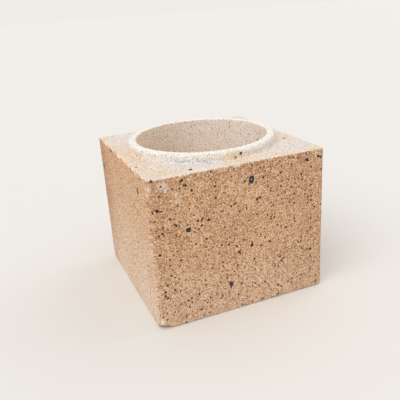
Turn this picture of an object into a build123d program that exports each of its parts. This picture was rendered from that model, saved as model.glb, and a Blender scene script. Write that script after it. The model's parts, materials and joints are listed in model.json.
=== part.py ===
"""Refractory flue brick: one pressed and fired block of fireclay that stacks into a chimney.

The block is square outside and round inside. A round collar stands up around the bore, and the
bed has a matching socket, so the collar of one block sits in the socket of the block above it and
the joint between them is lapped. Everything is one solid.

Millimetres. The origin is on the axis of the bore at the level of the bed, and +Z runs up the flue.
"""

from build123d import *

import os

# The block
block_side = 240.0
block_height = 200.0
corner_radius = 4.0
top_arris_chamfer = 1.0
bed_arris_chamfer = 1.5

# The flue through it
bore_diameter = 180.0
bore_lip_chamfer = 1.5

# The collar on top, which the socket of the next block takes
collar_wall = 12.0
collar_height = 12.0
collar_shoulder_radius = 6.0
collar_foot_radius = 2.0

# The bed of mortar between a collar and its socket, as thick at the side as at the end
mortar_joint = 2.0
socket_mouth_chamfer = 2.0

# Radii from the axis and heights above the bed that follow from these
bore_radius = bore_diameter / 2
collar_radius = bore_radius + collar_wall
collar_crest = block_height + collar_height
socket_radius = collar_radius + mortar_joint
socket_depth = collar_height + mortar_joint
socket_root_radius = collar_shoulder_radius + mortar_joint

with BuildPart() as flue_brick:
    # The square body, with its upright corners blunt and its arrises eased
    with BuildSketch():
        Rectangle(block_side, block_side)
    extrude(amount=block_height)
    fillet(flue_brick.edges().filter_by(Axis.Z), radius=corner_radius)
    chamfer(flue_brick.faces().sort_by(Axis.Z)[-1].edges(), length=top_arris_chamfer)
    chamfer(flue_brick.faces().sort_by(Axis.Z)[0].edges(), length=bed_arris_chamfer)

    # The collar, with its shoulder rounded over and its foot run out into the top bed
    with BuildSketch(Plane.XY.offset(block_height)):
        Circle(collar_radius)
    extrude(amount=collar_height)
    collar_rings = flue_brick.edges(Select.LAST).filter_by(GeomType.CIRCLE).sort_by(Axis.Z)
    fillet(collar_rings[-1], radius=collar_shoulder_radius)
    collar_foot = flue_brick.faces().filter_by(Axis.Z).sort_by(Axis.Z)[-2].inner_wires()[0]
    fillet(collar_foot.edges(), radius=collar_foot_radius)

    # The core of the mould: the socket and the bore, with the arrises of all three mouths eased
    with BuildSketch(Plane.XZ):
        with BuildLine():
            socket_wall = Polyline(
                (0, 0),
                (socket_radius + socket_mouth_chamfer, 0),
                (socket_radius, socket_mouth_chamfer),
                (socket_radius, socket_depth - socket_root_radius),
            )
            socket_root = RadiusArc(
                socket_wall @ 1,
                (socket_radius - socket_root_radius, socket_depth),
                -socket_root_radius,
            )
            Polyline(
                socket_root @ 1,
                (bore_radius + bore_lip_chamfer, socket_depth),
                (bore_radius, socket_depth + bore_lip_chamfer),
                (bore_radius, collar_crest - bore_lip_chamfer),
                (bore_radius + bore_lip_chamfer, collar_crest),
                (0, collar_crest),
                (0, 0),
            )
        make_face()
    revolve(axis=Axis.Z, mode=Mode.SUBTRACT)

flue_brick.part.label = "flue_brick"

os.makedirs("parts", exist_ok=True)
export_step(flue_brick.part, "parts/flue_brick.step")
print("solids", len(flue_brick.part.solids()), "volume in litres", round(flue_brick.part.volume / 1e6, 3))
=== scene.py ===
"""Refractory flue brick: the look of one fired block of fireclay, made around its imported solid.

Everything is in metres, in the frame of the part: the origin is on the axis of the bore at the
level of the bed, and +Z runs up the flue. The front is the side towards -Y, and the left side is
the one towards -X. Places on the block are given in millimetres and turned to metres by MM.
"""

import json
import math
import random

import bmesh
import bpy
import numpy as np
from mathutils import Matrix, Vector, noise

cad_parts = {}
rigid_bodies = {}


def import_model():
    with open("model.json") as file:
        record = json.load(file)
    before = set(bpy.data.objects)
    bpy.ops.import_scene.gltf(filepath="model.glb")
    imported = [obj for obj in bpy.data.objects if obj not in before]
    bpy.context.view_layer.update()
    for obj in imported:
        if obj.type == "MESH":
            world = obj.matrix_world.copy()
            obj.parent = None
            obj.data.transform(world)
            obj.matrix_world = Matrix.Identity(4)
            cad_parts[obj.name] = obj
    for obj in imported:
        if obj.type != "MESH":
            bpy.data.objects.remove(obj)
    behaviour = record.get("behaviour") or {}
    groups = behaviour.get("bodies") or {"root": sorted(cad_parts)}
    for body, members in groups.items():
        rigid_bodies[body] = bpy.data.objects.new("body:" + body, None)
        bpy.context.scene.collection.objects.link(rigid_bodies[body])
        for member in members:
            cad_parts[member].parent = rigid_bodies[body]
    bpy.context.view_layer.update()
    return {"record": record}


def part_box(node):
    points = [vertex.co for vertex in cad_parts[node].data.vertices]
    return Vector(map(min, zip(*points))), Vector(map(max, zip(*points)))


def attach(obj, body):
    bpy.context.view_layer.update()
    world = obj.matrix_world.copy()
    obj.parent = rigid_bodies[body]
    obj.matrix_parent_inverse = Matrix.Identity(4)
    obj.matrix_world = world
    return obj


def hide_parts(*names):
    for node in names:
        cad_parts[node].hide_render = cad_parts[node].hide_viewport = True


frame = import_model()

MM = 0.001

# Driving sizes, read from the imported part
MOUNTS = {mount["name"]: mount for mount in frame["record"]["mounts"]}
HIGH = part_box("flue_brick")[1]
HALF_SIDE = HIGH.x
CREST = HIGH.z
LEDGE = MOUNTS["top_bed"]["pos_m"][2]
BORE_RADIUS = MOUNTS["flue_bore"]["dims"]["r_mm"] * MM
COLLAR_RADIUS = MOUNTS["collar"]["dims"]["r_mm"] * MM
SOCKET_RADIUS = MOUNTS["socket"]["dims"]["r_mm"] * MM
MORTAR_JOINT = SOCKET_RADIUS - COLLAR_RADIUS
SOCKET_DEPTH = CREST - LEDGE + MORTAR_JOINT

# How far the mould and the years have rounded each arris
CORNER_ROUND = 4.0 * MM
TOP_ARRIS_ROUND = 1.0 * MM
BED_ARRIS_ROUND = 1.6 * MM
SHOULDER_ROUND = 6.0 * MM
FOOT_ROUND = 2.2 * MM
LIP_ROUND = 2.0 * MM

# The skin of the block lies this much inside the part's box, so that nothing on it stands proud
SKIN_DEPTH = 0.15 * MM

# How far a blank or a core passes the face that it joins or cuts
OVERSHOOT = 5.0 * MM

# The mesh: the steps of each round, the grid it is remade on, and the triangles kept of that
RING_STEPS = 256
VOXEL = 1.0 * MM
BASE_TRIANGLES = 140000

# A chip's hollow has so many bumps to its radius, as deep as this share of it
LUMP_BUMPS = 1.7
LUMP_UNEVEN = 0.10


# Modelling helpers


def deselect():
    """Nothing selected, in object mode."""
    if bpy.context.object and bpy.context.object.mode != "OBJECT":
        bpy.ops.object.mode_set(mode="OBJECT")
    bpy.ops.object.select_all(action="DESELECT")


def make_active(piece):
    """This piece alone selected, and active."""
    deselect()
    piece.select_set(True)
    bpy.context.view_layer.objects.active = piece


def named(name):
    """The primitive that was just added, under its own name."""
    piece = bpy.context.object
    piece.name = name
    piece.data.name = name
    return piece


def settle(piece):
    """The object's place goes into its mesh, as a CAD node's does."""
    make_active(piece)
    bpy.ops.object.transform_apply(location=True, rotation=True, scale=True)
    return piece


def round_edges(piece, wanted, offset, segments):
    """Bevels the edges whose two ends pass the test."""
    make_active(piece)
    bpy.ops.object.mode_set(mode="EDIT")
    bpy.ops.mesh.select_mode(type="EDGE")
    bpy.ops.mesh.select_all(action="DESELECT")
    bm = bmesh.from_edit_mesh(piece.data)
    for edge in bm.edges:
        edge.select_set(wanted(edge.verts[0].co, edge.verts[1].co))
    bmesh.update_edit_mesh(piece.data)
    bpy.ops.mesh.bevel(offset=offset, segments=segments, profile=0.5, affect="EDGES")
    bpy.ops.object.mode_set(mode="OBJECT")


def apply_modifier(piece, kind, **settings):
    """Adds one modifier with its settings and applies it."""
    make_active(piece)
    modifier = piece.modifiers.new(kind.lower(), kind)
    for setting, value in settings.items():
        setattr(modifier, setting, value)
    bpy.ops.object.modifier_apply(modifier=modifier.name)


def combine(piece, tool, operation, solver="EXACT"):
    """Joins the tool to the piece or cuts it out, and drops the tool."""
    apply_modifier(piece, "BOOLEAN", operation=operation, object=tool, solver=solver)
    bpy.data.objects.remove(tool)


def ring_edge(radius, height, slack=0.2 * MM):
    """A test for the edges of one ring round the axis."""

    def on_ring(a, b):
        return all(
            abs(math.hypot(p.x, p.y) - radius) < slack and abs(p.z - height) < slack for p in (a, b)
        )

    return on_ring


# The block


def pressed_block():
    """The block as it leaves the mould: square body, collar, bore and socket, with eased arrises."""
    half = HALF_SIDE - SKIN_DEPTH
    bpy.ops.mesh.primitive_cube_add(size=1, location=(0, 0, LEDGE / 2))
    block = named("flue_brick_fired")
    block.scale = (2 * half, 2 * half, LEDGE)
    settle(block)
    slack = 0.1 * MM
    round_edges(block, lambda a, b: abs(a.z - b.z) > LEDGE - slack, CORNER_ROUND, 5)
    round_edges(block, lambda a, b: min(a.z, b.z) > LEDGE - slack, TOP_ARRIS_ROUND, 2)
    round_edges(block, lambda a, b: max(a.z, b.z) < slack, BED_ARRIS_ROUND, 2)

    rise = CREST - LEDGE
    bpy.ops.mesh.primitive_cylinder_add(
        vertices=RING_STEPS,
        radius=COLLAR_RADIUS,
        depth=rise + OVERSHOOT,
        location=(0, 0, CREST - (rise + OVERSHOOT) / 2),
    )
    collar = settle(named("collar_blank"))
    round_edges(collar, ring_edge(COLLAR_RADIUS, CREST), SHOULDER_ROUND, 8)
    combine(block, collar, "UNION")
    round_edges(block, ring_edge(COLLAR_RADIUS, LEDGE), FOOT_ROUND, 4)

    bpy.ops.mesh.primitive_cylinder_add(
        vertices=RING_STEPS, radius=BORE_RADIUS, depth=CREST + 2 * OVERSHOOT, location=(0, 0, CREST / 2)
    )
    combine(block, settle(named("bore_core")), "DIFFERENCE")
    bpy.ops.mesh.primitive_cylinder_add(
        vertices=RING_STEPS,
        radius=SOCKET_RADIUS,
        depth=SOCKET_DEPTH + OVERSHOOT,
        location=(0, 0, (SOCKET_DEPTH - OVERSHOOT) / 2),
    )
    socket = settle(named("socket_core"))
    round_edges(socket, ring_edge(SOCKET_RADIUS, SOCKET_DEPTH), SHOULDER_ROUND + MORTAR_JOINT, 8)
    combine(block, socket, "DIFFERENCE")
    round_edges(block, ring_edge(BORE_RADIUS, CREST), LIP_ROUND, 3)
    round_edges(block, ring_edge(BORE_RADIUS, SOCKET_DEPTH), LIP_ROUND, 3)
    round_edges(block, ring_edge(SOCKET_RADIUS, 0), BED_ARRIS_ROUND, 2)
    return block


# Chips


def lump(centre, radius, seed):
    """A rough stone-like ball, the shape that a knock takes out of an arris."""
    bpy.ops.mesh.primitive_ico_sphere_add(subdivisions=3, radius=radius, location=centre)
    ball = settle(named("lump"))
    for vertex in ball.data.vertices:
        outward = (vertex.co - centre).normalized()
        bump = noise.noise(outward * LUMP_BUMPS + Vector((seed, 0, 0)))
        vertex.co = centre + outward * radius * (1 + LUMP_UNEVEN * bump)
    return ball


def arris_chip(place, outward, length, depth, seed):
    """The ball that bites so long and so deep a piece out of an arris."""
    radius = (length * length / 4 + depth * depth) / (2 * depth)
    return place + outward.normalized() * (radius - depth), radius, seed


def corner_chip(corner, reaches, radius, seed):
    """The ball that takes a corner off, as far along each of its three arrises as it reaches."""
    ends = [corner + reach for reach in reaches]
    across = (ends[1] - ends[0]).cross(ends[2] - ends[0]).normalized()
    if across.dot(corner - ends[0]) < 0:
        across = -across
    middle = (ends[0] + ends[1] + ends[2]) / 3
    spread = max((end - middle).length for end in ends)
    sag = radius - math.sqrt(radius * radius - spread * spread)
    return middle + across * (radius - sag), radius, seed


def arris_chips():
    """Chips drawn along all twelve arrises: more of them, and deeper, where the photo shows that.

    Each arris has its two ends, the way it faces, and in millimetres how far apart its chips are,
    how long and how deep.
    """
    h = HALF_SIDE
    top, bed = LEDGE, 0.0
    blunt = h - CORNER_ROUND * (1 - math.sqrt(0.5))
    arrises = {
        "top_left": ((-h, -h, top), (-h, h, top), (-1, 0, 1), 3.2, (2.5, 8.0), (0.9, 2.6)),
        "top_front": ((-h, -h, top), (h, -h, top), (0, -1, 1), 14.0, (2.5, 4.5), (0.7, 1.2)),
        "top_right": ((h, -h, top), (h, h, top), (1, 0, 1), 10.0, (2.5, 6.0), (0.8, 1.7)),
        "top_back": ((-h, h, top), (h, h, top), (0, 1, 1), 10.0, (2.5, 6.0), (0.8, 1.7)),
        "bed_left": ((-h, -h, bed), (-h, h, bed), (-1, 0, -1), 16.0, (2.5, 5.0), (0.8, 1.5)),
        "bed_front": ((-h, -h, bed), (h, -h, bed), (0, -1, -1), 7.0, (2.5, 5.5), (0.9, 1.8)),
        "bed_right": ((h, -h, bed), (h, h, bed), (1, 0, -1), 10.0, (2.5, 6.0), (0.9, 1.8)),
        "bed_back": ((-h, h, bed), (h, h, bed), (0, 1, -1), 10.0, (2.5, 6.0), (0.9, 1.8)),
        "near": ((-blunt, -blunt, bed), (-blunt, -blunt, top), (-1, -1, 0), 3.4, (3.0, 9.0), (1.0, 2.8)),
        "right": ((blunt, -blunt, bed), (blunt, -blunt, top), (1, -1, 0), 12.0, (2.5, 5.0), (0.3, 0.8)),
        "left": ((-blunt, blunt, bed), (-blunt, blunt, top), (-1, 1, 0), 12.0, (2.5, 5.0), (0.3, 0.8)),
        "far": ((blunt, blunt, bed), (blunt, blunt, top), (1, 1, 0), 8.0, (2.5, 6.0), (0.4, 1.0)),
    }
    draw = random.Random(11)
    chips = []
    for start, end, outward, spacing, lengths, depths in arrises.values():
        start, end, outward = Vector(start), Vector(end), Vector(outward)
        count = int((end - start).length / (spacing * MM))
        for i in range(count):
            place = start.lerp(end, (i + draw.random()) / count)
            length = draw.uniform(*lengths) * MM
            depth = draw.uniform(*depths) * MM
            chips.append(arris_chip(place, outward, length, depth, draw.random() * 99))
    return chips


def near_corner_bite():
    """The bite that the photo shows out of the near corner of the bed."""
    corner = Vector((-HALF_SIDE, -HALF_SIDE, 0))
    reaches = [Vector((17 * MM, 0, 0)), Vector((0, 10 * MM, 0)), Vector((0, 0, 5.5 * MM))]
    return corner_chip(corner, reaches, 40 * MM, 3.0)


def drop_crumbs(block):
    """Keeps only what hangs together with the crest of the collar."""
    make_active(block)
    bpy.ops.object.mode_set(mode="EDIT")
    bpy.ops.mesh.select_mode(type="VERT")
    bpy.ops.mesh.select_all(action="DESELECT")
    bm = bmesh.from_edit_mesh(block.data)
    max(bm.verts, key=lambda vertex: vertex.co.z).select_set(True)
    bmesh.update_edit_mesh(block.data)
    bpy.ops.mesh.select_linked()
    bpy.ops.mesh.select_all(action="INVERT")
    bpy.ops.mesh.delete(type="VERT")
    bpy.ops.object.mode_set(mode="OBJECT")


def batches(chips):
    """The chips sorted into batches in which no two balls touch."""
    sorted_chips = []
    for centre, radius, seed in chips:
        for batch in sorted_chips:
            gaps = ((centre - other).length / (radius + reach) for other, reach, _ in batch)
            if all(gap > 1 + LUMP_UNEVEN for gap in gaps):
                batch.append((centre, radius, seed))
                break
        else:
            sorted_chips.append([(centre, radius, seed)])
    return sorted_chips


def chip(block):
    """Cuts all the chips out of the block, batch by batch."""
    for batch in batches([*arris_chips(), near_corner_bite()]):
        lumps = [lump(*ball) for ball in batch]
        make_active(lumps[0])
        for ball in lumps[1:]:
            ball.select_set(True)
        bpy.ops.object.join()
        combine(block, bpy.context.object, "DIFFERENCE", "MANIFOLD")
    drop_crumbs(block)


# Places on the block


class Side:
    """One flat side of the block: its origin and its two directions."""

    def __init__(self, origin, across, along):
        self.origin, self.across, self.along = Vector(origin), Vector(across), Vector(along)

    def at(self, u, v):
        """The place u and v millimetres from the side's origin, and the directions there."""
        place = self.origin + self.across * (u * MM) + self.along * (v * MM)
        return place, self.across, self.along


class Ring:
    """A round wall about the axis. u is the angle in degrees and v the height, in millimetres."""

    def __init__(self, radius):
        self.radius = radius

    def at(self, u, v):
        angle = math.radians(u)
        away = Vector((math.cos(angle), math.sin(angle), 0))
        place = away * self.radius + Vector((0, 0, v * MM))
        return place, Vector((-away.y, away.x, 0)), Vector((0, 0, 1))


FRONT = Side((0, -HALF_SIDE, 0), (1, 0, 0), (0, 0, 1))
BACK = Side((0, HALF_SIDE, 0), (-1, 0, 0), (0, 0, 1))
LEFT = Side((-HALF_SIDE, 0, 0), (0, 1, 0), (0, 0, 1))
RIGHT = Side((HALF_SIDE, 0, 0), (0, 1, 0), (0, 0, 1))
TOP = Side((0, 0, LEDGE), (1, 0, 0), (0, 1, 0))
BED = Side((0, 0, 0), (1, 0, 0), (0, 1, 0))
BORE = Ring(BORE_RADIUS)
COLLAR = Ring(COLLAR_RADIUS)

# Melted iron specks as (u, v, width, height) in millimetres, where the photo shows them
IRON_SPECKS = {
    FRONT: [
        (14.2, 176.5, 7.5, 10.0),
        (21.3, 149.2, 4.0, 3.6),
        (25.2, 150.6, 3.6, 3.4),
        (-72.5, 129.0, 7.0, 6.0),
        (-46.0, 136.5, 4.0, 3.8),
        (12.2, 88.0, 4.0, 5.0),
        (12.8, 91.5, 2.2, 3.0),
        (-19.5, 40.2, 6.0, 6.0),
        (-6.8, 82.8, 3.4, 3.8),
        (38.0, 87.0, 3.0, 3.2),
        (53.2, 60.8, 3.2, 3.0),
        (58.2, 57.2, 3.0, 3.2),
        (55.0, 55.0, 2.6, 2.4),
        (100.2, 60.5, 4.2, 3.2),
        (63.0, 101.5, 3.0, 2.8),
        (93.5, 188.0, 4.6, 4.4),
        (110.5, 189.4, 4.0, 3.6),
        (114.0, 188.2, 3.4, 3.2),
        (-109.0, 161.6, 4.6, 4.0),
        (-105.2, 160.0, 3.0, 2.6),
        (-87.2, 138.2, 2.8, 3.2),
        (-88.2, 125.5, 2.6, 2.6),
        (-76.2, 192.8, 3.6, 3.4),
        (-72.0, 185.8, 3.4, 3.2),
        (-63.0, 14.8, 3.8, 2.6),
        (-58.2, 26.2, 2.6, 2.6),
        (-108.5, 53.5, 3.4, 3.0),
        (-108.5, 47.4, 3.2, 2.8),
        (-106.4, 44.4, 3.8, 3.0),
        (-96.0, 53.8, 2.6, 2.6),
        (-51.5, 100.8, 2.6, 2.4),
        (-111.0, 105.2, 3.2, 2.8),
        (-52.8, 140.5, 2.6, 2.4),
        (-26.8, 144.0, 3.2, 2.6),
        (86.5, 162.8, 2.4, 2.4),
        (44.0, 136.0, 2.4, 2.6),
        (68.5, 135.5, 2.4, 2.4),
        (-112.5, 198.0, 4.0, 3.2),
        (-102.0, 190.0, 3.0, 2.2),
        (37.2, 163.2, 3.6, 2.0),
    ],
    LEFT: [
        (-81.0, 175.8, 7.0, 9.0),
        (101.0, 159.0, 7.0, 11.0),
        (42.6, 196.4, 8.5, 3.8),
        (-11.6, 197.6, 3.4, 2.6),
        (-57.5, 197.4, 3.6, 2.8),
        (-98.0, 196.6, 3.6, 3.0),
        (-54.0, 96.5, 3.4, 3.2),
        (-94.0, 80.8, 2.6, 2.4),
        (105.0, 17.8, 3.0, 2.6),
    ],
    TOP: [
        (-60.0, -108.0, 5.0, 5.6),
        (102.8, -50.0, 6.0, 4.0),
        (-113.0, -62.0, 3.0, 3.0),
    ],
    COLLAR: [(-84.4, 206.0, 3.6, 3.4), (-88.6, 202.5, 2.4, 2.4)],
}


# Stains with soft edges, as (u, v, width, height) in millimetres and a strength. First, white salt
SALT_STAINS = {
    FRONT: [
        (-101.0, 190.0, 19.0, 14.0, 1.0),
        (-96.0, 185.0, 14.0, 10.0, 0.9),
        (-84.0, 177.5, 12.0, 8.0, 0.9),
        (-51.5, 117.5, 3.4, 3.0, 1.0),
        (44.0, 190.5, 3.0, 3.4, 0.9),
        (-117.0, 190.0, 8.0, 16.0, 1.0),
        (-117.0, 120.0, 6.0, 30.0, 0.5),
        (-116.0, 92.0, 7.0, 18.0, 0.6),
        (-117.0, 52.0, 6.0, 36.0, 0.5),
        (-116.0, 12.0, 10.0, 14.0, 1.0),
        (-5.0, 197.6, 18.0, 5.0, 1.1),
        (-19.0, 197.6, 9.0, 4.6, 1.1),
        (-96.0, 199.0, 18.0, 3.0, 0.8),
        (-108.5, 40.0, 5.0, 4.0, 0.9),
    ],
    LEFT: [
        (-117.0, 186.0, 6.0, 22.0, 0.9),
        (-117.0, 90.0, 6.0, 150.0, 0.5),
        (-62.0, 198.5, 50.0, 5.0, 0.9),
        (0.0, 198.5, 70.0, 4.0, 0.9),
        (70.0, 198.5, 60.0, 3.0, 0.7),
    ],
}

# Where the kiln burnt the clay to a deeper and redder brown
SCORCHES = {
    FRONT: [
        (-108.0, 172.0, 50.0, 80.0, 0.7),
        (10.0, 205.0, 340.0, 64.0, 0.9),
        (-112.0, 90.0, 16.0, 150.0, 0.5),
    ],
    BACK: [(0.0, 205.0, 260.0, 80.0, 1.0), (60.0, 90.0, 120.0, 120.0, 0.8)],
    LEFT: [(140.0, 130.0, 190.0, 330.0, 1.0), (60.0, 215.0, 160.0, 60.0, 0.9)],
    RIGHT: [(-132.0, 130.0, 90.0, 330.0, 1.0), (40.0, 215.0, 200.0, 60.0, 1.0)],
}

# Where the skin on top is a warmer cream, and where it is a cool blue-grey: in patches on the ledge, and
# as painted shade at the foot of the collar
CREAM_STAINS = {
    TOP: [
        (-92.0, -104.0, 60.0, 46.0, 0.8),
        (-114.0, -14.0, 38.0, 170.0, 1.2),
        (-112.0, 108.0, 40.0, 40.0, 1.2),
        (6.0, -112.0, 90.0, 18.0, 1.0),
        (108.0, -40.0, 26.0, 60.0, 1.0),
        (112.0, -110.0, 46.0, 26.0, 1.1),
        (60.0, -112.0, 60.0, 20.0, 0.7),
    ],
    COLLAR: [
        (-90.0, 204.5, 42.0, 14.0, 1.5),
        (-70.0, 204.0, 20.0, 8.0, 0.6),
        (-172.0, 204.0, 60.0, 12.0, 0.9),
    ],
}
ASH_AND_SHADE_STAINS = {
    TOP: [
        (-84.0, 100.0, 34.0, 30.0, 0.45),
        (-46.0, -111.0, 56.0, 16.0, 0.35),
        (96.0, -92.0, 50.0, 40.0, 0.25),
    ],
    # On the collar the blue-grey is painted shade, at its foot where it meets the ledge and faintly on its
    # wall.
    COLLAR: [
        (-126.0, 202.4, 44.0, 6.0, 1.1),
        (-112.0, 202.0, 44.0, 5.0, 1.0),
        (-150.0, 208.0, 60.0, 10.0, 0.3),
        (-45.0, 201.5, 30.0, 4.0, 0.6),
    ],
}


def drawn_specks(draw, count, sizes, across, along, keep_out=0.0):
    """So many specks scattered over a side, clear of a round hole at its origin."""
    specks = []
    while len(specks) < count:
        u, v = draw.uniform(*across), draw.uniform(*along)
        if math.hypot(u, v) < keep_out:
            continue
        size = draw.uniform(*sizes) * draw.uniform(0.8, 1.2)
        specks.append((u, v, size, size * draw.uniform(0.7, 1.3)))
    return specks


def all_iron():
    """The specks that the photo shows, and as many again on the sides that it hides."""
    draw = random.Random(5)
    iron = {side: list(specks) for side, specks in IRON_SPECKS.items()}
    edge = HALF_SIDE / MM - 4
    height = LEDGE / MM - 4
    iron[BACK] = drawn_specks(draw, 32, (2.4, 5.5), (-edge, edge), (4, height))
    iron[RIGHT] = drawn_specks(draw, 12, (2.4, 6.0), (-edge, edge), (4, height))
    iron[BED] = drawn_specks(draw, 12, (2.4, 5.0), (-edge, edge), (-edge, edge), 110)
    iron[TOP] += drawn_specks(draw, 3, (2.0, 3.2), (-edge, edge), (0, edge), 108)
    iron[BORE] = drawn_specks(draw, 12, (2.0, 3.0), (-180, 180), (18, 205))
    return iron


def all_pits():
    """Small open pores that show as dark holes, the dark inside them being painted shade. The front is the
    roughest side.
    """
    draw = random.Random(7)
    edge = HALF_SIDE / MM - 2
    height = LEDGE / MM - 2
    return {
        FRONT: drawn_specks(draw, 80, (1.2, 2.1), (-edge, edge), (2, height)),
        BACK: drawn_specks(draw, 80, (1.3, 2.4), (-edge, edge), (2, height)),
        LEFT: drawn_specks(draw, 14, (1.4, 2.0), (-edge, edge), (2, height)),
        RIGHT: drawn_specks(draw, 16, (1.4, 2.2), (-edge, edge), (2, height)),
        TOP: drawn_specks(draw, 26, (1.4, 2.2), (-edge, edge), (-edge, edge), 106),
        BED: drawn_specks(draw, 40, (1.6, 3.0), (-edge, edge), (-edge, edge), 110),
        BORE: drawn_specks(draw, 30, (1.2, 1.8), (-180, 180), (18, 205)),
    }


# From the pressed block to the fired one


def divide_faces(block, chosen):
    """Divides the chosen faces once, and keeps every face a triangle."""
    make_active(block)
    bpy.ops.object.mode_set(mode="EDIT")
    bpy.ops.mesh.select_mode(type="FACE")
    bpy.ops.mesh.select_all(action="DESELECT")
    bpy.ops.object.mode_set(mode="OBJECT")
    block.data.polygons.foreach_set("select", chosen)
    bpy.ops.object.mode_set(mode="EDIT")
    bpy.ops.mesh.subdivide(number_cuts=1, ngon=False)
    bpy.ops.mesh.select_all(action="SELECT")
    bpy.ops.mesh.quads_convert_to_tris()
    bpy.ops.object.mode_set(mode="OBJECT")


def near_dab(points, side, dab, reach):
    """The points within reach of one dab, and how far each lies across, along and off the side."""
    place, across, along = (np.array(v, np.float32) for v in side.at(dab[0], dab[1]))
    away = points - place
    near = np.nonzero((away**2).sum(1) < reach * reach)[0]
    away = away[near]
    off = away @ np.cross(across, along)
    return near, away @ across, away @ along, off


# Specks are measured this many millimetres beyond their outline
SPECK_MARGIN = 3.0

# A stain fades by this rate from its middle, and as deep as this into the block. Past the reach,
# which is a share of its size and a margin, it is gone.
STAIN_FADE = 1.5
STAIN_DEPTH = 4.0 * MM
STAIN_REACH = 1.6
STAIN_MARGIN = 5.0 * MM


def speck_depth(points, dabs):
    """How far inside the nearest speck each point lies, in millimetres, and less than 0 outside."""
    inside = np.full(len(points), -SPECK_MARGIN, np.float32)
    for side, specks in dabs.items():
        for dab in specks:
            half_width, half_height = dab[2] / 2 * MM, dab[3] / 2 * MM
            reach = max(half_width, half_height) + SPECK_MARGIN * MM
            near, a, b, off = near_dab(points, side, dab, reach)
            value = (1 - np.hypot(a / half_width, b / half_height)) * min(half_width, half_height) / MM
            inside[near] = np.maximum(inside[near], value)
    return inside


def stain_strength(points, dabs):
    """How strongly each point is stained: 1 in the middle of a stain, and fading all round it."""
    strength = np.zeros(len(points), np.float32)
    for side, stains in dabs.items():
        for dab in stains:
            half_width, half_height = dab[2] / 2 * MM, dab[3] / 2 * MM
            reach = STAIN_REACH * max(half_width, half_height) + STAIN_MARGIN
            near, a, b, off = near_dab(points, side, dab, reach)
            spread = STAIN_FADE * ((a / half_width) ** 2 + (b / half_height) ** 2)
            spread += (off / STAIN_DEPTH) ** 2
            strength[near] = np.maximum(strength[near], dab[4] * np.exp(-spread))
    return strength


def arris_distance(points):
    """How far each point lies from the nearest arris of the square block, in metres."""
    gaps = np.stack(
        [
            HALF_SIDE - np.abs(points[:, 0]),
            HALF_SIDE - np.abs(points[:, 1]),
            np.minimum(points[:, 2], np.abs(LEDGE - points[:, 2])),
        ]
    )
    return np.sort(np.abs(gaps), axis=0)[1]


def vertex_places(block):
    """Where each vertex is, one row each."""
    points = np.empty(len(block.data.vertices) * 3, np.float32)
    block.data.vertices.foreach_get("co", points)
    return points.reshape(-1, 3)


def paint(block, name, values):
    """Stores one value a vertex under its own name, for the material to read."""
    attribute = block.data.attributes.new(name, "FLOAT", "POINT")
    attribute.data.foreach_set("value", values.astype(np.float32))


def apply_weighted(block, kind, weights, **settings):
    """Applies one modifier that works on each vertex by a weight of its own."""
    group = block.vertex_groups.new(name=kind.lower())
    for index in np.nonzero(weights > 0)[0]:
        group.add([int(index)], float(weights[index]), "REPLACE")
    apply_modifier(block, kind, vertex_group=group.name, **settings)
    block.vertex_groups.clear()


def clouds(name, grain, depth):
    """A soft noise of the stated grain, for a Displace modifier."""
    texture = bpy.data.textures.new(name, "CLOUDS")
    texture.noise_scale = grain
    texture.noise_depth = depth
    return texture


# How uneven the fired clay is: the grain and the depth of each kind of unevenness
OUT_OF_TRUE = (55 * MM, 0.35 * MM)
UNEVEN = (6 * MM, 0.16 * MM)
CRUMBS = (3.5 * MM, 0.8 * MM)

# Arrises are crumbled for 2 mm on each side, and less and less for 5 mm more
CRUMBLED_FADE = 5 * MM
CRUMBLED_START = 1.4

# Iron is sunk a little and pores are deep, in millimetres, once they are this far inside their edge
IRON_SUNK = 0.35
PIT_SUNK = 0.9
SUNK_SLOPE = 0.8


def make_uneven(block):
    """All of the block is a little out of true and uneven, and its arrises are crumbled."""
    for name, (grain, depth) in (("out_of_true", OUT_OF_TRUE), ("uneven", UNEVEN)):
        apply_modifier(
            block,
            "DISPLACE",
            texture=clouds(name, grain, 2),
            texture_coords="LOCAL",
            mid_level=1.0,
            strength=depth,
        )
    gap = arris_distance(vertex_places(block))
    apply_weighted(
        block,
        "DISPLACE",
        np.clip(CRUMBLED_START - gap / CRUMBLED_FADE, 0, 1),
        texture=clouds("crumbs", CRUMBS[0], 2),
        texture_coords="LOCAL",
        mid_level=1.0,
        strength=CRUMBS[1],
    )


def thin_out(block, iron, pits):
    """The mesh stays fine at the specks and pits, and gets coarser elsewhere."""
    points = vertex_places(block)
    depth = np.maximum(speck_depth(points, iron), speck_depth(points, pits))
    apply_weighted(
        block,
        "DECIMATE",
        (depth > -1.0).astype(np.float32),
        invert_vertex_group=True,
        ratio=BASE_TRIANGLES / (2 * len(block.data.polygons)),
        use_collapse_triangulate=True,
    )
    centres = np.empty(len(block.data.polygons) * 3, np.float32)
    block.data.polygons.foreach_get("center", centres)
    centres = centres.reshape(-1, 3)
    divide_faces(block, np.maximum(speck_depth(centres, iron), speck_depth(centres, pits)) > -0.5)


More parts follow.
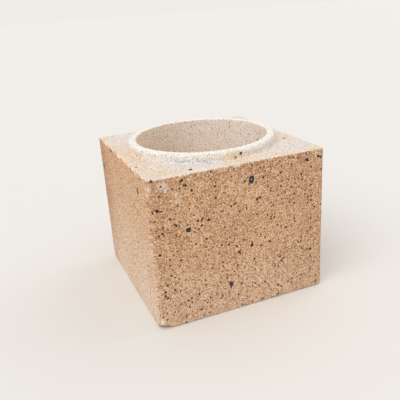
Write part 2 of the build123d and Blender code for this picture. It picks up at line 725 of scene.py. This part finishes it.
def mark(block, iron, pits):
    """Stores every mark of the kiln and of use for the material, with the painted shade at the collar's
    foot, and sinks the iron and the pits.
    """
    points = vertex_places(block)
    iron_depth, pit_depth = speck_depth(points, iron), speck_depth(points, pits)
    paint(block, "iron", iron_depth)
    paint(block, "pit", pit_depth)
    for name, stains in (
        ("salt", SALT_STAINS),
        ("scorch", SCORCHES),
        ("cream", CREAM_STAINS),
        ("ash_and_shade", ASH_AND_SHADE_STAINS),
    ):
        paint(block, name, stain_strength(points, stains))
    paint(block, "rubbed", np.clip(1.0 - arris_distance(points) / (4 * MM), 0, 1))
    iron_sunk = np.clip(iron_depth / SUNK_SLOPE, 0, 1) * IRON_SUNK
    pit_sunk = np.clip(pit_depth / SUNK_SLOPE, 0, 1) * PIT_SUNK
    sunk = iron_sunk + pit_sunk
    apply_weighted(
        block,
        "DISPLACE",
        sunk / sunk.max(),
        mid_level=0.0,
        strength=-float(sunk.max()) * MM,
        direction="NORMAL",
    )


def fired_block():
    """The whole brick: pressed, knocked about, uneven, pitted and specked with iron."""
    block = pressed_block()
    chip(block)
    apply_modifier(block, "REMESH", mode="VOXEL", voxel_size=VOXEL)
    make_uneven(block)
    iron, pits = all_iron(), all_pits()
    thin_out(block, iron, pits)
    mark(block, iron, pits)
    make_active(block)
    bpy.ops.object.shade_smooth_by_angle(angle=math.radians(50))
    return block


# Materials


def colour(code):
    """A colour written as sRGB hex, as the linear red, green, blue and alpha that a shader takes."""
    channels = []
    for i in (0, 2, 4):
        value = int(code[i : i + 2], 16) / 255
        channels.append(value / 12.92 if value <= 0.04045 else ((value + 0.055) / 1.055) ** 2.4)
    return (*channels, 1.0)


def node(tree, kind, inputs=None, **settings):
    """Adds one node: its own settings, then its sockets, each given a value or another node."""
    made = tree.nodes.new(kind)
    for setting, value in settings.items():
        setattr(made, setting, value)
    for key, value in (inputs or {}).items():
        live = [socket for socket in made.inputs if socket.enabled and socket.name == key]
        socket = live[0] if live else made.inputs[key]
        if isinstance(value, bpy.types.Node):
            value = next(output for output in value.outputs if output.enabled)
        if isinstance(value, bpy.types.NodeSocket):
            tree.links.new(value, socket)
        else:
            socket.default_value = value
    return made


def per(size):
    """The scale of a texture whose features are of the stated size."""
    return 1 / size


# The grit in the clay is 0.2 to 1 mm across, drawn as 1.5 mm because finer would not show.
# The crushed grog is 1 to 3 mm, and the clay between is mottled over a finger's width.
GRIT = 1.5 * MM
GROG = 3.2 * MM
MOTTLE = 9.0 * MM

# The colour drifts over a hand's width, as the heat of the kiln did
KILN_DRIFT = 50.0 * MM

# How far apart the single grains lie that can be told from the rest
PALE_GRAINS = 3.4 * MM
BROWN_GRAINS = 2.8 * MM
DARK_GRAINS = 5.0 * MM


def clay_patterns(tree):
    """The patterns that all four finishes share, each at its real scale."""
    place = node(tree, "ShaderNodeTexCoord").outputs["Object"]
    at = node(tree, "ShaderNodeSeparateXYZ", {"Vector": place})
    patterns = {
        "place": place,
        "across": at.outputs["X"],
        "along": at.outputs["Y"],
        "height": at.outputs["Z"],
    }
    for name, size, detail in (
        ("grit", GRIT, 1.5),
        ("grog", GROG, 2.0),
        ("mottle", MOTTLE, 4.0),
        ("drift", KILN_DRIFT, 4.0),
    ):
        patterns[name] = node(
            tree,
            "ShaderNodeTexNoise",
            {"Vector": place, "Scale": per(size), "Detail": detail, "Roughness": 0.6},
        ).outputs["Fac"]
    for name in ("iron", "pit", "salt", "scorch", "cream", "ash_and_shade", "rubbed"):
        patterns[name] = node(tree, "ShaderNodeAttribute", attribute_name=name).outputs["Fac"]
    return patterns


def tinted(tree, base, tint, pattern, low, high, most):
    """The base colour, with the tint laid over it as the pattern goes from low to high."""
    amount = node(
        tree,
        "ShaderNodeMapRange",
        {"Value": pattern, "From Min": low, "From Max": high, "To Max": most},
        interpolation_type="SMOOTHSTEP",
    )
    return node(
        tree, "ShaderNodeMix", {"Factor": amount, "A": base, "B": colour(tint)}, data_type="RGBA"
    )


def stained(tree, base, tint, stain, grain, share, low, high, most):
    """The base colour under a stain that a pattern breaks up, so that it has a grainy edge."""
    broken = node(
        tree, "ShaderNodeMath", {0: grain, 1: share, 2: stain}, operation="MULTIPLY_ADD"
    )
    return tinted(tree, base, tint, broken, low, high, most)


def dotted(tree, base, clay, spacing, reach, tint, most):
    """The base colour with round grains in it, each of a size of its own, up to a share of the spacing."""
    cells = node(tree, "ShaderNodeTexVoronoi", {"Vector": clay["place"], "Scale": per(spacing)})
    draw = node(tree, "ShaderNodeSeparateColor", {"Color": cells.outputs["Color"]})
    shrunk = node(
        tree,
        "ShaderNodeMath",
        {0: draw.outputs["Red"], 1: reach, 2: cells.outputs["Distance"]},
        operation="MULTIPLY_ADD",
    )
    return tinted(tree, base, tint, shrunk, reach, reach - 0.08, most)


def grog_body(tree, clay):
    """The torn, sandy clay of the front and back: tan, with darker and paler grains of grog."""
    body = tinted(tree, colour("C8966B"), "DCAC80", clay["drift"], 0.3, 0.7, 1.0)
    # Paler towards the bottom: painted light, the bounce from the pale floor.
    body = tinted(tree, body, "E2BFA4", clay["height"], 120 * MM, 0.0, 0.55)
    body = tinted(tree, body, "B98A62", clay["across"], 10 * MM, 125 * MM, 0.32)
    body = stained(tree, body, "A3663F", clay["scorch"], clay["mottle"], 1.2, 0.6, 1.7, 0.6)
    body = tinted(tree, body, "B07F5B", clay["mottle"], 0.5, 0.7, 0.3)
    body = tinted(tree, body, "8C5A3E", clay["grog"], 0.54, 0.70, 0.5)
    body = tinted(tree, body, "EBCDAE", clay["grog"], 0.46, 0.32, 0.4)
    body = tinted(tree, body, "74462D", clay["grit"], 0.53, 0.66, 0.6)
    body = tinted(tree, body, "FBE3C6", clay["grit"], 0.47, 0.36, 0.65)
    body = dotted(tree, body, clay, PALE_GRAINS, 0.38, "FCE8CF", 0.6)
    body = dotted(tree, body, clay, BROWN_GRAINS, 0.44, "6E402B", 0.75)
    return dotted(tree, body, clay, DARK_GRAINS, 0.36, "40251C", 1.0)


def pressed_side(tree, clay):
    """The sides that slid along the steel of the mould: closed, smooth and paler."""
    # Paler towards the bottom, and paler again at the foot: painted light, the bounce from the pale floor.
    side = tinted(tree, colour("D1A177"), "E1C7AD", clay["height"], 190 * MM, 10 * MM, 1.0)
    side = tinted(tree, side, "E8D5C2", clay["height"], 55 * MM, 0.0, 0.5)
    side = tinted(tree, side, "A5683A", clay["scorch"], 0.0, 1.0, 0.85)
    side = tinted(tree, side, "CB9C72", clay["drift"], 0.45, 0.75, 0.45)
    side = tinted(tree, side, "A3744F", clay["grog"], 0.54, 0.72, 0.25)
    side = tinted(tree, side, "F3DCC2", clay["grog"], 0.46, 0.30, 0.25)
    side = tinted(tree, side, "8E5E3A", clay["grit"], 0.52, 0.64, 0.65)
    side = tinted(tree, side, "FDEAD3", clay["grit"], 0.48, 0.36, 0.65)
    side = dotted(tree, side, clay, PALE_GRAINS, 0.38, "FBEAD4", 0.6)
    side = dotted(tree, side, clay, BROWN_GRAINS, 0.36, "84543A", 0.6)
    return dotted(tree, side, clay, DARK_GRAINS, 0.26, "50322A", 0.8)


def flashed_skin(tree, clay):
    """The lime-pale skin that the fire left on top: cream on the ledge and white on the crest."""
    skin = tinted(tree, colour("E3D3C5"), "EEE3D4", clay["height"], LEDGE + 1 * MM, LEDGE + 3 * MM, 1.0)
    # The upright wall of the collar is greyer than its foot and its crest: painted shade.
    skin = tinted(tree, skin, "E8E3DA", clay["height"], LEDGE + 5 * MM, LEDGE + 8 * MM, 1.0)
    skin = tinted(tree, skin, "F6F1E8", clay["height"], CREST - 3 * MM, CREST - 0.6 * MM, 1.0)
    skin = stained(tree, skin, "E6C9A2", clay["cream"], clay["mottle"], 0.7, 0.4, 1.2, 0.8)
    # The blue-grey stains, broken up by the grog: patches on the ledge, and painted shade at the foot of
    # the collar.
    skin = stained(tree, skin, "DADDE3", clay["ash_and_shade"], clay["grog"], 0.8, 0.3, 0.9, 0.8)
    skin = stained(tree, skin, "9FA8B8", clay["ash_and_shade"], clay["grog"], 0.8, 1.0, 1.6, 0.85)
    skin = tinted(tree, skin, "C29E78", clay["grog"], 0.54, 0.72, 0.4)
    skin = tinted(tree, skin, "FFFCF3", clay["grog"], 0.46, 0.30, 0.4)
    skin = tinted(tree, skin, "9A7856", clay["grit"], 0.53, 0.66, 0.5)
    skin = tinted(tree, skin, "FFFBF2", clay["grit"], 0.48, 0.36, 0.65)
    skin = dotted(tree, skin, clay, BROWN_GRAINS, 0.38, "A67F5C", 0.55)
    return dotted(tree, skin, clay, DARK_GRAINS, 0.25, "6E5242", 0.65)


def flue_wall(tree, clay):
    """The wall of the bore, wiped by the core: even, sandy and pale."""
    # Tanner on the left of the bore, where its wall faces away from the key light, and more neutral on the
    # right: painted shade.
    wall = tinted(tree, colour("F8E3CB"), "F5E6DA", clay["across"], -70 * MM, 70 * MM, 1.0)
    wall = tinted(tree, wall, "C6A687", clay["grog"], 0.56, 0.72, 0.3)
    wall = tinted(tree, wall, "93704F", clay["grit"], 0.54, 0.66, 0.5)
    wall = tinted(tree, wall, "FFFAF2", clay["grit"], 0.48, 0.38, 0.65)
    wall = dotted(tree, wall, clay, BROWN_GRAINS, 0.38, "8C6646", 0.7)
    return dotted(tree, wall, clay, DARK_GRAINS, 0.25, "5A3E30", 0.7)


def finish_masks(tree, clay):
    """Which finish each place has: a wiped side, the skin on top or the wall of the flue."""
    sideways = node(tree, "ShaderNodeMath", {0: clay["across"]}, operation="ABSOLUTE")
    endways = node(tree, "ShaderNodeMath", {0: clay["along"]}, operation="ABSOLUTE")
    torn = node(
        tree,
        "ShaderNodeMath",
        {0: clay["mottle"], 1: 14 * MM, 2: endways},
        operation="MULTIPLY_ADD",
    )
    wiped = node(
        tree,
        "ShaderNodeMapRange",
        {"Value": torn, "From Min": HALF_SIDE + 5.5 * MM, "From Max": HALF_SIDE + 1.5 * MM},
        interpolation_type="SMOOTHSTEP",
    )
    side = node(
        tree,
        "ShaderNodeMapRange",
        {
            "Value": sideways,
            "From Min": HALF_SIDE - 3.0 * MM,
            "From Max": HALF_SIDE - 1.0 * MM,
            "To Max": wiped,
        },
        interpolation_type="SMOOTHSTEP",
    )
    ragged = node(
        tree,
        "ShaderNodeMath",
        {0: clay["grog"], 1: -1.6 * MM, 2: clay["height"]},
        operation="MULTIPLY_ADD",
    )
    skin = node(
        tree,
        "ShaderNodeMapRange",
        {"Value": ragged, "From Min": LEDGE - 2.0 * MM, "From Max": LEDGE - 1.6 * MM},
        interpolation_type="SMOOTHSTEP",
    )
    level = node(tree, "ShaderNodeVectorMath", {0: clay["place"], 1: (1, 1, 0)}, operation="MULTIPLY")
    reach = node(tree, "ShaderNodeVectorMath", {0: level}, operation="LENGTH")
    flue = node(
        tree,
        "ShaderNodeMapRange",
        {
            "Value": reach.outputs["Value"],
            "From Min": BORE_RADIUS + 1.2 * MM,
            "From Max": BORE_RADIUS + 0.7 * MM,
        },
        interpolation_type="SMOOTHSTEP",
    )
    return side, skin, flue


def fired_fireclay():
    """Fired fireclay: pressed damp and fired at about 1250 degrees, so it is dry, matt and sandy.

    The eye sees a tan body with crushed grog in it, closed where the mould wiped it, a pale skin
    where the fire drew lime out on top, and iron that melted into small glassy black specks.
    """
    material = bpy.data.materials.new("fired_fireclay")
    material.use_nodes = True
    tree = material.node_tree
    tree.nodes.clear()
    clay = clay_patterns(tree)
    side, skin, flue = finish_masks(tree, clay)
    surface = grog_body(tree, clay)
    for mask, finish in (
        (side, pressed_side(tree, clay)),
        (skin, flashed_skin(tree, clay)),
        (flue, flue_wall(tree, clay)),
    ):
        surface = node(
            tree, "ShaderNodeMix", {"Factor": mask, "A": surface, "B": finish}, data_type="RGBA"
        )

    # Arrises are rubbed paler, in grains, white salt blooms in grains too, and the pores are darkened
    # inside with painted shade
    surface = stained(tree, surface, "F1E2D0", clay["rubbed"], clay["grog"], 3.0, 2.0, 2.5, 0.75)
    surface = stained(tree, surface, "F6F2EE", clay["salt"], clay["grit"], 3.0, 2.1, 2.55, 0.85)
    surface = tinted(tree, surface, "4E3228", clay["pit"], -0.3, 0.4, 0.9)

    # Melted iron: a rusty halo, a black rim, and in the big specks a blue-grey middle that is a painted
    # reflection of the sky in the glassy slag
    edge = node(
        tree,
        "ShaderNodeMath",
        {0: clay["grit"], 1: 1.4, 2: clay["iron"]},
        operation="MULTIPLY_ADD",
    )
    surface = tinted(tree, surface, "8A4A30", edge, -0.2, 0.7, 0.35)
    is_iron = node(
        tree,
        "ShaderNodeMapRange",
        {"Value": edge, "From Min": 0.55, "From Max": 0.95},
        interpolation_type="SMOOTHSTEP",
    )
    # Black slag, with a painted reflection in the middle of the big specks
    slag_and_reflection = tinted(tree, colour("282224"), "6F87A4", edge, 2.8, 3.7, 0.9)
    surface = node(
        tree, "ShaderNodeMix", {"Factor": is_iron, "A": surface, "B": slag_and_reflection}, data_type="RGBA"
    )
    roughness = node(tree, "ShaderNodeMapRange", {"Value": is_iron, "To Min": 0.92, "To Max": 0.4})

    # Grit stands up on the torn faces and hardly at all on the wiped ones
    torn = node(tree, "ShaderNodeMapRange", {"Value": side, "To Min": 0.6, "To Max": 0.3})
    coarse = node(
        tree, "ShaderNodeBump", {"Height": clay["grog"], "Strength": torn, "Distance": 0.9 * MM}
    )
    fine = node(
        tree,
        "ShaderNodeBump",
        {"Height": clay["grit"], "Strength": torn, "Distance": 0.5 * MM, "Normal": coarse},
    )
    shader = node(
        tree,
        "ShaderNodeBsdfPrincipled",
        {"Base Color": surface, "Roughness": roughness, "Normal": fine, "Specular IOR Level": 0.3},
    )
    node(tree, "ShaderNodeOutputMaterial", {"Surface": shader})
    return material


# The floor, the lights and the camera


def pale_floor():
    """A plain floor, matt and nearly white."""
    bpy.ops.mesh.primitive_plane_add(size=30)
    floor = named("floor")
    material = bpy.data.materials.new("floor_paint")
    material.use_nodes = True
    paint_shader = material.node_tree.nodes["Principled BSDF"]
    paint_shader.inputs["Base Color"].default_value = colour("E6E3DE")
    paint_shader.inputs["Roughness"].default_value = 0.9
    floor.data.materials.append(material)


def soft_light():
    """A wide key light from the upper left, and a bright room all round."""
    for name, towards, strength, spread in (
        ("key", (-0.55, -0.30, 0.78), 1.35, 50),
        ("fill", (0.75, 0.15, 0.60), 0.45, 60),
    ):
        light = bpy.data.lights.new(name, "SUN")
        light.energy = strength
        light.angle = math.radians(spread)
        lamp = bpy.data.objects.new(name, light)
        lamp.rotation_mode = "QUATERNION"
        lamp.rotation_quaternion = Vector(towards).to_track_quat("Z", "Y")
        bpy.context.scene.collection.objects.link(lamp)

    world = bpy.data.worlds.new("pale_room")
    bpy.context.scene.world = world
    world.use_nodes = True
    tree = world.node_tree
    tree.nodes.clear()
    rays = node(tree, "ShaderNodeLightPath")
    seen = rays.outputs["Is Camera Ray"]
    for ray in ("Is Glossy Ray", "Is Transmission Ray"):
        seen = node(tree, "ShaderNodeMath", {0: seen, 1: rays.outputs[ray]}, operation="MAXIMUM")
    room = node(tree, "ShaderNodeBackground", {"Color": colour("FFFFFF"), "Strength": 0.68})
    wall = node(tree, "ShaderNodeBackground", {"Color": colour("F0EDE8"), "Strength": 1.0})
    view = node(tree, "ShaderNodeMixShader", {0: seen, 1: room, 2: wall})
    node(tree, "ShaderNodeOutputWorld", {"Surface": view})


# Where the photo was taken from: the eye in metres, the way it looks, and how far it leans over
EYE = Vector((-0.2637, -0.6496, 0.3863))
HEADING = Vector((0.3411, 0.8670, -0.3632))
LEAN = math.radians(3.845)
LENS = 46.49


def photo_camera():
    """The camera at the photo's angle."""
    heading = HEADING.normalized()
    level = heading.cross(Vector((0, 0, 1))).normalized()
    upright = level.cross(heading)
    up = upright * math.cos(LEAN) + level * math.sin(LEAN)
    right = heading.cross(up)
    data = bpy.data.cameras.new("photo_camera")
    data.sensor_width = 36.0
    data.lens = LENS
    data.clip_start = 0.01
    data.clip_end = 100.0
    camera = bpy.data.objects.new("photo_camera", data)
    camera.matrix_world = Matrix.Translation(EYE) @ Matrix((right, up, -heading)).transposed().to_4x4()
    bpy.context.scene.collection.objects.link(camera)
    bpy.context.scene.camera = camera


deselect()
flue_brick = fired_block()
flue_brick.data.materials.clear()
flue_brick.data.materials.append(fired_fireclay())
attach(flue_brick, "root")
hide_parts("flue_brick")

pale_floor()
soft_light()
photo_camera()
bpy.context.scene.view_settings.view_transform = "Standard"
